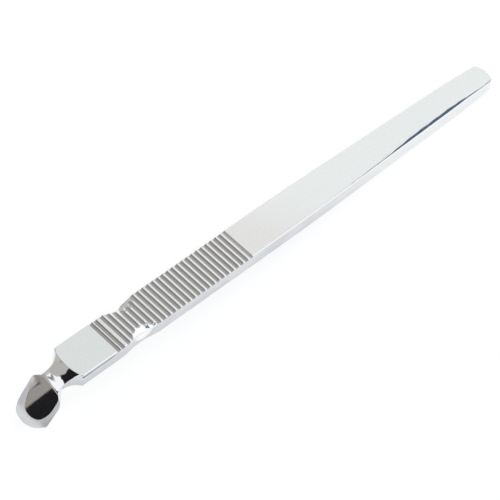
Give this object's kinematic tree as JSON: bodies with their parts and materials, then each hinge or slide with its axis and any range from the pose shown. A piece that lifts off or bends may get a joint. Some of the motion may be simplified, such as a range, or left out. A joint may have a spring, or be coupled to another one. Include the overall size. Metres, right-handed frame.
{
  "type": "periosteal elevator",
  "caption": "One-piece polished steel hand elevator: flat tapering handle with cross-grooved grip and finger scoops, waisted neck, bent round-edged blade with a wide bevel.",
  "frame": {"origin": "middle of the handle's flat back face, halfway between the handle's front edge and its butt", "axes": "+X along the handle from the blade to the butt, +Y across the handle, +Z out of the grooved top face"},
  "size_m": [0.1496, 0.0096, 0.013],
  "materials": {
    "polished_steel": "polished stainless steel, with a satin-ground bevel round the blade and fine cutter marks in the grip grooves"
  },
  "bodies": {
    "root": {"elevator_body": "polished_steel"}
  },
  "joints": []
}
